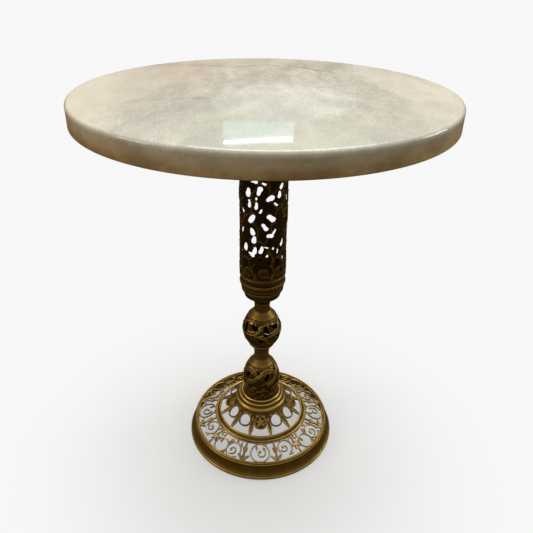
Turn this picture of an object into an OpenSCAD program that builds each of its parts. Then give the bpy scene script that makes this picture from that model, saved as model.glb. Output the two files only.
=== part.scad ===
// Pedestal side table: a round marble slab on a stem of cast and turned brass with an openwork base.
// Millimetres, +Z up. The origin is on the floor, under the centre of the stem.

/* [Table] */
// Height from the floor to the top of the slab
table_h = 620; // [580:5:680]
// Number of facets of a full circle in the preview
$fn = 96;

/* [Marble top] */
// Diameter of the slab
top_d = 520; // [460:5:600]
// Thickness of the slab
top_t = 30; // [26:1:40]
// Radius of the slab's rounded upper edge
top_edge_r = 5; // [2:0.5:8]
// Bevel of the slab's lower edge
top_bevel = 1.5; // [0.5:0.5:3]

/* [Column] */
// Outer diameter of the openwork column
column_d = 75; // [72:1:78]
// Wall of the openwork column
column_wall = 2.6; // [2:0.2:3]
// Height of one row of leaf openings
leaf_pitch = 15; // [14:1:18]

/* [Ball and urn] */
// Largest diameter of the openwork ball
ball_d = 67.2; // [64:0.5:70]
// Largest diameter of the openwork urn
urn_d = 66; // [63:0.5:68]
// Wall of the ball and of the urn
shell_wall = 2.8; // [2.4:0.2:3.2]
// Number of groups of openings around the ball and the urn
shell_groups = 5; // [4:1:6]

/* [Base] */
// Diameter of the base on the floor
base_d = 262.4; // [256:0.4:270]
// Width of the strands of the scrollwork
strand_w = 2.8; // [2.4:0.1:3.2]
// Thickness of the scrollwork
scroll_t = 3; // [2.5:0.5:4]
// Number of round medallion openings in the dome
medallions = 12; // [10:1:12]
// Radius of one medallion opening
medallion_r = 8.6; // [7:0.2:8.8]

/* [Fasteners] */
// Diameter of the tie rod
rod_d = 10; // [8:1:10]
// Clearance around the tie rod and the screws
rod_gap = 1; // [0.6:0.2:1.4]
// Width across the flats of the tie rod's nuts
nut_af = 17; // [15:1:18]
// Diameter of the screws that hold the slab
slab_screw_d = 6; // [5:0.5:6]
// Diameter of the screws that hold the column
flange_screw_d = 5; // [4:0.5:5]

/* [Hidden] */

// Levels of the base, from the floor up
z_rim_bead = 25.6;
z_band_out = 28;
z_band_in = 39.4;
z_ring_in = 46;
z_dome_out = 54;
z_dome_in = 69;

// Levels of the stem
z_urn_foot = 89;
z_urn_mid = 123;
z_urn_cap = 152.5;
z_neck_low = 164;
z_ball_low = 184;
z_ball_cut_low = 197;
z_ball_mid = 227;
z_ball_cut_top = 253;
z_ball_top = 264;
z_cup_foot = 280;
z_cup_top = 330;
z_column_foot = 338;

// Levels under the slab
felt_t = 2;
plate_t = 4;
flange_t = 6;
z_slab = table_h - top_t;
z_felt = z_slab - felt_t;
z_plate = z_felt - plate_t;
z_flange = z_plate - flange_t;

// Radii of the base
r_band_out = 118;
r_band_in = 83;
r_ring_in = 74;
r_dome_out = 61.5;
r_dome_in = 44.7;
r_dart_in = 60.5;

// Radii of the stem
r_neck = 12.9;
r_rod_hole = rod_d / 2 + rod_gap;
r_column_in = column_d / 2 - column_wall;
r_ball_arc_top = 39;
r_ball_arc_low = 45;
r_urn_arc = 46;
r_urn_foot = 28.5;
r_flange = 56;
r_flange_screws = 47;
r_plate = 90;
r_slab_screws = 72;

brass = "#8a6a32";
dark_brass = "#4a3a1c";
pale_brass = "#a98a4a";
steel = "#77777a";

// Points of an arc from angle a0 to a1 around [cx, cy]
function arc_points(cx, cy, r, a0, a1, steps = 12) = [
    for (i = [0:steps]) let (a = a0 + (a1 - a0) * i / steps) [cx + r * cos(a), cy + r * sin(a)]
];

// Solid of revolution of an outline of [radius, height] points
module turned(points) {
    rotate_extrude() polygon(points);
}

// Round ring of the section radius section_r
module bead(r, z, section_r) {
    rotate_extrude() translate([r, z]) circle(r = section_r, $fn = 32);
}

// Conical strip whose upper face runs from [r_in, z_in] to [r_out, z_out]
module cone_strip(r_in, z_in, r_out, z_out, t) {
    turned([[r_in, z_in], [r_out, z_out], [r_out, z_out - t], [r_in, z_in - t]]);
}

// Pointed leaf outline along Y, the overlap of two equal circles
module leaf_outline(length, width) {
    r = (length * length + width * width) / (4 * width);
    intersection() {
        translate([r - width / 2, 0]) circle(r = r);
        translate([width / 2 - r, 0]) circle(r = r);
    }
}

// Leaf-shaped cutter that runs out from the axis at height z, turned by tilt in the wall.
// Azimuth 0 is the front.
module leaf_cut(azimuth, z, length, width, tilt, reach = 60) {
    rotate([0, 0, azimuth]) translate([0, 0, z]) rotate([90, 0, 0]) rotate(tilt)
        translate([0, 0, rod_d]) linear_extrude(reach) leaf_outline(length, width);
}

// Copies its children count times around the axis
module ring_of(count, start = 0) {
    for (k = [0:count - 1]) rotate([0, 0, start + k * 360 / count]) children();
}

// Hexagonal nut with a round hole
module hex_nut(z, height, across, hole_r) {
    translate([0, 0, z]) difference() {
        cylinder(r = across / sqrt(3), h = height, $fn = 6);
        translate([0, 0, -1]) cylinder(r = hole_r, h = height + 2);
    }
}

// Screw that points up: round head below z, shank above it, which starts a little inside the head
module screw_up(z, shank_d, shank_l) {
    head_d = 1.9 * shank_d;
    head_t = 0.6 * shank_d;
    root = 0.1;
    translate([0, 0, z - head_t]) cylinder(d = head_d, h = head_t);
    translate([0, 0, z - root]) cylinder(d = shank_d, h = shank_l + root);
}

// ---- Slab and its fixings ----

insert_r = 5;
insert_l = 16;
insert_floor = 3;
screw_reach = 12;

module marble_top() {
    r = top_d / 2;
    color("#c9c6b4") difference() {
        turned(concat(
            [[0, z_slab], [r - top_bevel, z_slab], [r, z_slab + top_bevel]],
            arc_points(r - top_edge_r, table_h - top_edge_r, top_edge_r, 0, 90, 6),
            [[0, table_h]]
        ));
        ring_of(4, 45) translate([r_slab_screws, 0, z_slab - 1]) cylinder(r = insert_r, h = insert_l + 1);
    }
}

module marble_inserts() {
    color(pale_brass) ring_of(4, 45) translate([r_slab_screws, 0, z_slab]) difference() {
        cylinder(r = insert_r, h = insert_l);
        translate([0, 0, -1]) cylinder(d = slab_screw_d, h = insert_l - insert_floor + 1);
    }
}

module felt_disc() {
    color("#20242a") difference() {
        translate([0, 0, z_felt]) cylinder(r = r_plate, h = felt_t);
        ring_of(4, 45) translate([r_slab_screws, 0, z_felt - 1])
            cylinder(d = slab_screw_d + rod_gap, h = felt_t + 2);
    }
}

module top_plate() {
    color(dark_brass) difference() {
        turned([
            [0, z_plate], [r_plate - 1, z_plate], [r_plate, z_plate + 1], [r_plate, z_felt], [0, z_felt]
        ]);
        ring_of(4, 45) translate([r_slab_screws, 0, z_plate - 1])
            cylinder(d = slab_screw_d + rod_gap, h = plate_t + 2);
        ring_of(4) translate([r_flange_screws, 0, z_plate - 1]) cylinder(d = flange_screw_d, h = plate_t + 2);
    }
}

module slab_screws() {
    color(steel) ring_of(4, 45) translate([r_slab_screws, 0, 0])
        screw_up(z_plate, slab_screw_d, plate_t + felt_t + screw_reach);
}

module flange_screws() {
    color(steel) ring_of(4) translate([r_flange_screws, 0, 0])
        screw_up(z_flange, flange_screw_d, flange_t + plate_t);
}

// ---- Openwork column ----

spigot_t = 3;
spigot_l = 12;
spigot_play = 0.2;

module column_top_ring() {
    r_out = r_column_in - spigot_play;
    color(brass) difference() {
        turned([
            [r_out - spigot_t, z_flange - spigot_l], [r_out, z_flange - spigot_l], [r_out, z_flange],
            [r_flange - 1, z_flange], [r_flange, z_flange + 1], [r_flange, z_plate],
            [r_out - spigot_t, z_plate]
        ]);
        ring_of(4) translate([r_flange_screws, 0, z_flange - 1])
            cylinder(d = flange_screw_d + rod_gap, h = flange_t + 2);
    }
}

border_h = 7;
column_panels = 8;
leaf_rows = floor((z_flange - z_column_foot - 2 * border_h) / leaf_pitch);

// Flat sector of a ring, from angle a0 over sweep degrees
module ring_sector(r_in, r_out, a0, sweep) {
    intersection() {
        difference() {
            circle(r = r_out);
            circle(r = r_in);
        }
        polygon(concat([[0, 0]], arc_points(0, 0, 2 * r_out, a0, a0 + sweep, 2)));
    }
}

// Openings of one row in one panel: a large leaning leaf and a small one.
// They change places in every other row.
module panel_openings(azimuth, row) {
    z = z_column_foot + border_h + (row + 0.5) * leaf_pitch;
    half = 180 / column_panels;
    even = row % 2 == 0;
    lean = even ? 28 : -28;
    leaf_cut(azimuth + (even ? 0 : half), z, 0.92 * leaf_pitch, 0.55 * leaf_pitch, lean);
    leaf_cut(azimuth + (even ? half : 0), z, 0.62 * leaf_pitch, 0.36 * leaf_pitch, -lean);
}

// One of the upright panels that make up the column, counted from 1 at the front
module column_panel(number) {
    step = 360 / column_panels;
    azimuth = (number - 1) * step;
    color(dark_brass) difference() {
        translate([0, 0, z_column_foot]) linear_extrude(z_flange - z_column_foot)
            ring_sector(r_column_in, column_d / 2, azimuth - 90 - step / 4, step);
        for (row = [0:leaf_rows - 1]) panel_openings(azimuth, row);
    }
}

web_t = 5;
r_foot_groove = 35.7;

module column_foot_ring() {
    r_out = r_column_in - spigot_play;
    color(brass) turned([
        [r_rod_hole, z_cup_top], [r_foot_groove, z_cup_top], [r_foot_groove, z_column_foot - 3],
        [r_foot_groove + 0.8, z_column_foot], [r_out, z_column_foot], [r_out, z_column_foot + spigot_l / 2],
        [r_out - spigot_t, z_column_foot + spigot_l / 2], [r_out - spigot_t, z_cup_top + web_t],
        [r_rod_hole, z_cup_top + web_t]
    ]);
}

// ---- Tie rod, nuts and washers ----

washer_t = 2.5;
nut_h = 8;
rod_end = 6;
z_upper_nut = z_cup_top + web_t + washer_t;
z_base_washer = 53;
r_upper_washer = 14;
r_base_washer = 24;

// Washer of the outer radius r that rests at height z
module flat_washer(z, r) {
    turned([[r_rod_hole, z], [r, z], [r, z + washer_t], [r_rod_hole, z + washer_t]]);
}

module upper_washer() {
    color(steel) flat_washer(z_upper_nut - washer_t, r_upper_washer);
}

module upper_nut() {
    color(steel) hex_nut(z_upper_nut, nut_h, nut_af, rod_d / 2);
}

module tie_rod() {
    z_low = z_base_washer - nut_h - rod_end;
    color(steel) translate([0, 0, z_low])
        cylinder(d = rod_d, h = z_upper_nut + nut_h + rod_end - z_low);
}

module base_washer() {
    color(steel) flat_washer(z_base_washer, r_base_washer);
}

module base_nut() {
    color(steel) hex_nut(z_base_washer - nut_h, nut_h, nut_af, rod_d / 2);
}

// ---- Cup, necks and caps ----

cup_floor = 9;
r_cup_foot = 13.7;
flare_h = 16.2;
r_cup_in = 27;

// Radius of the trumpet-shaped foot of the cup, t above its lower end
function flare_r(t) = r_cup_foot + 0.33 * t + 0.0385 * t * t;

module cup() {
    color(dark_brass) turned(concat(
        [[r_rod_hole, z_cup_foot]],
        [for (i = [0:8]) let (t = flare_h * i / 8) [flare_r(t), z_cup_foot + t]],
        [[30.3, z_cup_foot + 20], [31, z_cup_foot + 23]],
        arc_points(31, z_cup_foot + 29, 3.2, -50, 40, 5),
        arc_points(31.8, z_cup_foot + 35.5, 3.2, -40, 30, 5),
        arc_points(32.1, z_cup_foot + 43.5, 5.1, -50, 60, 8),
        [[r_foot_groove, z_cup_top - 1.2], [r_foot_groove, z_cup_top], [r_cup_in, z_cup_top]],
        [[r_cup_in, z_cup_foot + flare_h + 4], [flare_r(cup_floor) - 4, z_cup_foot + cup_floor + 2]],
        [[r_rod_hole, z_cup_foot + cup_floor]]
    ));
}

module upper_neck() {
    color(brass) turned([
        [r_rod_hole, z_ball_top], [15, z_ball_top], [14, z_ball_top + 2], [13.2, z_ball_top + 4.5],
        [r_neck, z_ball_top + 8], [13.2, z_cup_foot - 3], [r_cup_foot, z_cup_foot], [r_rod_hole, z_cup_foot]
    ]);
}

// Radius of the ball's outside at height z
function ball_r(z) = let (arc = z > z_ball_mid ? r_ball_arc_top : r_ball_arc_low)
    ball_d / 2 - arc + sqrt(pow(arc, 2) - pow(z - z_ball_mid, 2));

// Radius of the urn's outside at height z, fuller below its middle
function urn_r(z) = z > z_urn_mid
    ? urn_d / 2 - r_urn_arc + sqrt(pow(r_urn_arc, 2) - pow(z - z_urn_mid, 2))
    : urn_d / 2 - (urn_d / 2 - r_urn_foot) * pow((z_urn_mid - z) / (z_urn_mid - z_urn_foot), 2);

cap_lip = 1;

// Smooth cap that flares down from radius r_top at z_top to a lip on the shell's radius r at z
module flared_cap(r, z, r_top, z_top, hollow) {
    r_lip = r - 0.3;
    z_lip = z + 1.5 * cap_lip;
    turned(concat(
        [[r_rod_hole, z], [r - 0.6, z], [r + 0.2, z + cap_lip]],
        [for (i = [0:6]) let (t = i / 6) [
            r_lip + (r_top - r_lip) * (hollow * t + (1 - hollow) * t * t), z_lip + (z_top - z_lip) * t
        ]],
        [[r_rod_hole, z_top]]
    ));
}

module ball_upper_cap() {
    color(pale_brass) flared_cap(ball_r(z_ball_cut_top), z_ball_cut_top, 15, z_ball_top, 1);
}

module ball_lower_cap() {
    r = ball_r(z_ball_cut_low);
    color(brass) turned([
        [r_rod_hole, z_ball_low], [14, z_ball_low], [15.9, z_ball_low + 3.5], [18.3, z_ball_low + 7],
        [20.5, z_ball_low + 10], [r, z_ball_cut_low - cap_lip], [r - 0.5, z_ball_cut_low],
        [r_rod_hole, z_ball_cut_low]
    ]);
}

module lower_neck() {
    color(brass) turned([
        [r_rod_hole, z_neck_low], [14, z_neck_low], [13.2, z_neck_low + 2.5], [r_neck, z_neck_low + 6],
        [r_neck, z_ball_low - 6], [13.2, z_ball_low - 2.5], [14, z_ball_low], [r_rod_hole, z_ball_low]
    ]);
}

module urn_cap() {
    color(pale_brass) flared_cap(urn_r(z_urn_cap), z_urn_cap, 14, z_neck_low, 1.4);
}

// ---- Openwork ball and urn ----

shell_steps = 10;

// Closed wall between two heights under an outside radius list
module shell(outer) {
    inner = [for (i = [len(outer) - 1:-1:0]) [outer[i][0] - shell_wall, outer[i][1]]];
    turned(concat(outer, inner));
}

module openwork_ball() {
    span = z_ball_cut_top - z_ball_cut_low;
    outer = [for (i = [0:shell_steps]) let (z = z_ball_cut_low + span * i / shell_steps) [ball_r(z), z]];
    step = 360 / shell_groups;
    color(brass) difference() {
        shell(outer);
        for (k = [0:shell_groups - 1]) {
            leaf_cut(k * step - 22, z_ball_mid + 10, 20, 12, 28);
            leaf_cut(k * step + 10, z_ball_mid - 1, 19, 9, -4);
            leaf_cut(k * step - 10, z_ball_mid - 17, 18, 6, -62);
        }
    }
}

module openwork_urn() {
    span = z_urn_cap - z_urn_foot;
    outer = [for (i = [0:shell_steps]) let (z = z_urn_foot + span * i / shell_steps) [urn_r(z), z]];
    step = 360 / shell_groups;
    color(brass) difference() {
        shell(outer);
        for (k = [0:shell_groups - 1]) {
            leaf_cut(k * step - 14, z_urn_mid + 19, 9, 6, -60);
            leaf_cut(k * step + 18, z_urn_mid + 12, 19, 9, -22);
            leaf_cut(k * step - 20, z_urn_mid + 5, 18, 5, -66);
        }
    }
}

// ---- Base ----

r_hub = 20;
collar_round = 7;

module stepped_collar() {
    color(pale_brass) union() {
        turned(concat(
            [[r_rod_hole, z_base_washer + washer_t], [r_hub, z_base_washer + washer_t], [r_hub, z_dome_in]],
            arc_points(39.6, z_dome_in + 3.6, collar_round, -30, 70, 10),
            [[39, z_dome_in + 13], [36, z_dome_in + 17], [32, z_urn_foot], [r_rod_hole, z_urn_foot]]
        ));
        bead(37.8, z_dome_in + 13.4, 3.1);
        bead(33.3, z_dome_in + 18.8, 2.8);
    }
}

// Angle of the dome's side below the horizontal
dome_slope = atan2(z_dome_in - z_dome_out, r_dome_out - r_dome_in);
dome_t = 3;
rim_t = 1.2;
rim_w = 1.6;
rim_root = 0.5;
cut_reach = 8;
dart_w = 7;

// Places its children on the dome's side, with local Z out of the surface
module on_dome(k) {
    rotate([0, 0, 270 + k * 360 / medallions])
        translate([(r_dome_in + r_dome_out) / 2, 0, (z_dome_in + z_dome_out) / 2])
            rotate([0, dome_slope, 0]) children();
}

module medallion_ring() {
    color(brass) union() {
        difference() {
            union() {
                cone_strip(r_dome_in, z_dome_in, r_dome_out, z_dome_out, dome_t);
                for (k = [0:medallions - 1])
                    on_dome(k) translate([0, 0, -rim_root])
                        cylinder(r = medallion_r + rim_w, h = rim_t + rim_root);
            }
            for (k = [0:medallions - 1])
                on_dome(k) translate([0, 0, -cut_reach]) cylinder(r = medallion_r, h = 2 * cut_reach);
        }
        darts();
    }
}

// Pointed spokes that run from the dome to the middle ring
module darts() {
    length = r_ring_in - r_dart_in + 6;
    intersection() {
        cone_strip(r_dart_in, z_dome_out + 0.4, r_ring_in, z_ring_in, dome_t);
        linear_extrude(z_dome_in) ring_of(medallions, 270 + 180 / medallions)
            translate([r_dart_in + length / 2 - 1, 0]) rotate(90) leaf_outline(length + 2, dart_w);
    }
}

module middle_ring() {
    z_low = z_band_in - scroll_t;
    color(brass) turned([
        [r_ring_in, z_ring_in - dome_t - 1], [r_band_in, z_low], [r_band_in, z_band_in + 0.8],
        [r_band_in - 1.2, z_band_in + 2], [r_band_in - 3, z_band_in + 2.4], [r_ring_in + 3, z_ring_in - 0.4],
        [r_ring_in + 1.2, z_ring_in + 0.4], [r_ring_in, z_ring_in]
    ]);
}

// Piece of a ring of radius r around the local origin, from angle a0 to a1, with round ends
module arc_strand(r, a0, a1, w = strand_w, bulb = 1.3) {
    intersection() {
        difference() {
            circle(r = r + w / 2);
            circle(r = r - w / 2);
        }
        polygon(concat([[0, 0]], arc_points(0, 0, 2 * r, a0, a1, 8)));
    }
    for (a = [a0, a1]) translate([r * cos(a), r * sin(a)]) circle(r = w * bulb / 2, $fn = 32);
}

// Places its children in the scrollwork: origin at radius r, local +Y towards the stem
module in_band(azimuth, r) {
    rotate(azimuth) translate([0, -r]) children();
}

module flower() {
    for (k = [0:4]) rotate(k * 72) translate([0, 5]) circle(r = 3.1, $fn = 32);
    circle(r = 3.2, $fn = 32);
}

// Curl of radius r_in that leaves a ring of radius r at angle a and turns inwards
module inner_curl(r, r_in, a, sweep) {
    d = r - r_in;
    translate([d * cos(a), d * sin(a)]) arc_strand(r_in, a, a + sweep);
}

// One quarter of the scrollwork
module scroll_quarter() {
    r_mid = (r_band_in + r_band_out) / 2 - 0.5;
    in_band(0, r_mid) {
        arc_strand(15.4, 0, 180);
        arc_strand(15.4, 180, 360);
        inner_curl(15.4, 8, 15, 250);
        rotate(-40) translate([0, -11]) leaf_outline(10, 4);
    }
    for (a = [15.5, 74.5]) in_band(a, 101) {
        leaf_outline(34, 5);
        translate([0, -10]) for (s = [-1, 1]) translate([s * 3.4, -2]) circle(r = 3, $fn = 32);
    }
    in_band(26.5, 96) {
        arc_strand(11.6, -30, 200);
        inner_curl(11.6, 5.6, 200, 230);
    }
    in_band(38, 99.5) {
        flower();
        for (s = [-1, 1]) translate([0, s * 12]) leaf_outline(14, 3.6);
    }
    in_band(49.5, 104) {
        arc_strand(11.6, 20, 180);
        arc_strand(11.6, 180, 300);
        translate([2, 14.5]) leaf_outline(12, 4);
    }
    in_band(63, 103.4) {
        arc_strand(12.4, -20, 160);
        arc_strand(12.4, 160, 300);
        inner_curl(12.4, 6.4, 300, 240);
        translate([0, 15]) leaf_outline(10, 4);
    }
    for (a = [32, 43.5, 56.2, 69.5]) in_band(a, r_mid) square([6, strand_w], center = true);
}

module filigree_band() {
    border = 3;
    color(pale_brass) intersection() {
        cone_strip(r_band_in, z_band_in, r_band_out, z_band_out, scroll_t);
        linear_extrude(z_ring_in) {
            for (k = [0:3]) rotate(k * 90) scroll_quarter();
            for (r = [r_band_in + border, r_band_out + 1]) difference() {
                circle(r = r);
                circle(r = r - border - 1);
            }
        }
    }
}

module base_rim() {
    r = base_d / 2;
    foot_r = 3.5;
    wall = 4;
    color(brass) union() {
        turned([
            [r - foot_r - wall, 0], [r - foot_r, 0], [r - 4, 7], [r - 7, 13], [r - 9, 19],
            [r - 9.4, z_rim_bead],
            [r_band_out + 2, z_band_out + 1], [r_band_out, z_band_out + 1], [r_band_out, z_band_out - 7],
            [r - 12.5, 16], [r - 11, 9]
        ]);
        intersection() {
            bead(r - foot_r, foot_r - 0.4, foot_r);
            cylinder(r = r + 1, h = 2 * foot_r);
        }
        bead(r - 10.4, z_rim_bead, 2.4);
        bead(r_band_out + 1.6, z_band_out + 0.8, 1.5);
    }
}

marble_top();
marble_inserts();
felt_disc();
top_plate();
slab_screws();
flange_screws();
column_top_ring();
column_panel(1);  // column_panel_1
column_panel(2);  // column_panel_2
column_panel(3);  // column_panel_3
column_panel(4);  // column_panel_4
column_panel(5);  // column_panel_5
column_panel(6);  // column_panel_6
column_panel(7);  // column_panel_7
column_panel(8);  // column_panel_8
column_foot_ring();
upper_washer();
upper_nut();
cup();
upper_neck();
ball_upper_cap();
openwork_ball();
ball_lower_cap();
lower_neck();
urn_cap();
openwork_urn();
stepped_collar();
tie_rod();
base_washer();
base_nut();
medallion_ring();
middle_ring();
filigree_band();
base_rim();
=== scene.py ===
"""Marble-topped pedestal side table with a stem and base of openwork brass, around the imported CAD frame."""

import math

import bpy
import numpy as np
from mathutils import Matrix, Vector


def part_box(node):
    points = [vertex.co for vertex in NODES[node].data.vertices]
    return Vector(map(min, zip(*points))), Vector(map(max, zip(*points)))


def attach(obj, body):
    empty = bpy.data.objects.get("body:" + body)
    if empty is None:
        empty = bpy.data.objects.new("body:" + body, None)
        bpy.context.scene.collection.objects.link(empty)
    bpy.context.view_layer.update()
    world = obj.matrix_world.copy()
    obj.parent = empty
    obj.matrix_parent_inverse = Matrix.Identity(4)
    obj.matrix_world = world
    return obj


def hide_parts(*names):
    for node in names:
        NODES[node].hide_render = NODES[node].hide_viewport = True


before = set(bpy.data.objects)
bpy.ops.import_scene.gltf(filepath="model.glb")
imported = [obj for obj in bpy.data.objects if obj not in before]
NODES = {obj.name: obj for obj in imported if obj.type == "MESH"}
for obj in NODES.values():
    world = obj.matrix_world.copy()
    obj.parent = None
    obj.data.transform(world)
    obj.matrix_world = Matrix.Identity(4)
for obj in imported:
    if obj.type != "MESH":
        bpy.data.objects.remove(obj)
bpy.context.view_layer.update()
MM = 0.001
BODY = "root"
ROD_HOLE_R = 6
SURROUND = (0.935, 0.935, 0.935, 1)


# ---- camera

def make_camera():
    """Camera in front of the table, looking down on it, with the slight roll of a hand-held shot."""
    data = bpy.data.cameras.new("camera")
    data.sensor_width = 36
    data.lens = 37.22
    data.shift_x = 0.0071
    data.clip_end = 60
    cam = bpy.data.objects.new("camera", data)
    bpy.context.scene.collection.objects.link(cam)
    cam.location = (0, -0.7643, 0.7844)
    cam.rotation_mode = "XYZ"
    tilt = math.radians(90 - 29.85)
    roll = math.radians(0.8)
    cam.matrix_world = (
        Matrix.Translation(cam.location) @ Matrix.Rotation(tilt, 4, "X") @ Matrix.Rotation(roll, 4, "Z")
    )
    bpy.context.scene.camera = cam


make_camera()


# ---- sizes from the frame, in millimetres

def span(node):
    """Lowest z, highest z and outer radius of a CAD node, in millimetres."""
    low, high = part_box(node)
    return low.z / MM, high.z / MM, high.x / MM


SLAB_LOW, SLAB_TOP, SLAB_R = span("marble_top")
COLUMN_LOW, COLUMN_TOP = span("column_foot_ring")[0] + 8, span("column_top_ring")[1] - 6
COLUMN_R = 37.5
CUP_LOW, CUP_TOP, _ = span("cup")
BALL_LOW, BALL_TOP, _ = span("openwork_ball")
URN_LOW, URN_TOP, _ = span("openwork_urn")
_, DOME_TOP, DOME_R = span("medallion_ring")
RING_R = span("middle_ring")[2]
BAND_R = span("filigree_band")[2]
RIM_R = span("base_rim")[2]


# ---- meshes

def make_mesh(name, verts_mm, faces, material, replaces, relief):
    """A piece of the table, from points in millimetres and a relief value for each, in place of CAD nodes."""
    mesh = bpy.data.meshes.new(name)
    mesh.from_pydata((np.asarray(verts_mm, float) * MM).tolist(), [], [list(map(int, f)) for f in faces])
    mesh.validate()
    obj = bpy.data.objects.new(name, mesh)
    bpy.context.scene.collection.objects.link(obj)
    attribute = mesh.attributes.new("relief", "FLOAT", "POINT")
    attribute.data.foreach_set("value", np.asarray(relief, np.float32))
    mesh.polygons.foreach_set("use_smooth", np.full(len(mesh.polygons), True))
    mesh.materials.append(material)
    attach(obj, BODY)
    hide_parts(*replaces)
    return obj


def arc(cr, cz, radius, a0, a1, steps=10):
    """Points of an arc around (cr, cz) from angle a0 to a1 in degrees."""
    return [
        (cr + radius * math.cos(math.radians(a)), cz + radius * math.sin(math.radians(a)))
        for a in np.linspace(a0, a1, steps + 1)
    ]


def smooth_line(points, per_span=6):
    """Catmull-Rom curve through the points."""
    p = np.array([points[0]] + list(points) + [points[-1]], float)
    out = []
    for i in range(1, len(p) - 2):
        for t in np.linspace(0, 1, per_span, endpoint=False):
            a, b, c, d = p[i - 1], p[i], p[i + 1], p[i + 2]
            square = (2 * a - 5 * b + 4 * c - d) * t**2
            cube = (3 * b - a - 3 * c + d) * t**3
            out.append(0.5 * (2 * b + (c - a) * t + square + cube))
    out.append(p[-2])
    return [tuple(q) for q in out]


def lathe(name, outline, material, replaces, steps=240, wobble=None):
    """Solid of revolution of a closed outline of (radius, height) points, anticlockwise round the metal."""
    outline = np.array(outline, float)
    keep = [0] + [i for i in range(1, len(outline)) if np.hypot(*(outline[i] - outline[i - 1])) > 1e-3]
    outline = outline[keep]
    # Convexity sets the colour: dark grooves partly painted shade, pale crowns partly painted highlight.
    relief = convexity(outline)
    on_axis = outline[:, 0] < 1e-6
    angle = np.arange(steps) * 2 * math.pi / steps
    verts = []
    values = []
    rings = []
    for (r, z), high, pole in zip(outline, relief, on_axis):
        rings.append(len(verts) + (np.zeros(steps, int) if pole else np.arange(steps)))
        if pole:
            verts.append((0, 0, z))
            values.append(high)
            continue
        rr = np.full(steps, r) if wobble is None else r + wobble(np.full(steps, r), np.full(steps, z), angle)
        verts += list(zip(rr * np.sin(angle), -rr * np.cos(angle), np.full(steps, z)))
        values += [high] * steps
    faces = []
    for i in range(len(outline)):
        j = (i + 1) % len(outline)
        if on_axis[i] and on_axis[j]:
            continue
        quads = np.stack([rings[i], np.roll(rings[i], -1), np.roll(rings[j], -1), rings[j]], -1)
        if on_axis[i]:
            quads = quads[:, [0, 2, 3]]
        if on_axis[j]:
            quads = quads[:, [0, 1, 2]]
        faces += quads.tolist()
    obj = make_mesh(name, verts, faces, material, replaces, values)
    obj.data.set_sharp_from_angle(angle=math.radians(38))
    return obj


def convexity(outline):
    """Relief of an outline's points: high on the crown of a bead and on a corner, low in a groove; as colour
    it gives brown grooves, partly patina and partly painted shade, and pale crowns, partly rubbed metal and
    partly painted highlight.
    """
    d = np.roll(outline, -1, 0) - np.roll(outline, 1, 0)
    before = outline - np.roll(outline, 1, 0)
    after = np.roll(outline, -1, 0) - outline
    turn = before[:, 0] * after[:, 1] - before[:, 1] * after[:, 0]
    size = np.hypot(*before.T) * np.hypot(*after.T) + 1e-9
    bend = np.arcsin(np.clip(turn / size, -1, 1)) / (np.hypot(*d.T) / 2 + 0.2)
    for _ in range(2):
        bend = (np.roll(bend, 1) + 2 * bend + np.roll(bend, -1)) / 4
    return np.clip(0.5 + 1.6 * bend, 0, 1)


# ---- openwork sheets

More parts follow.
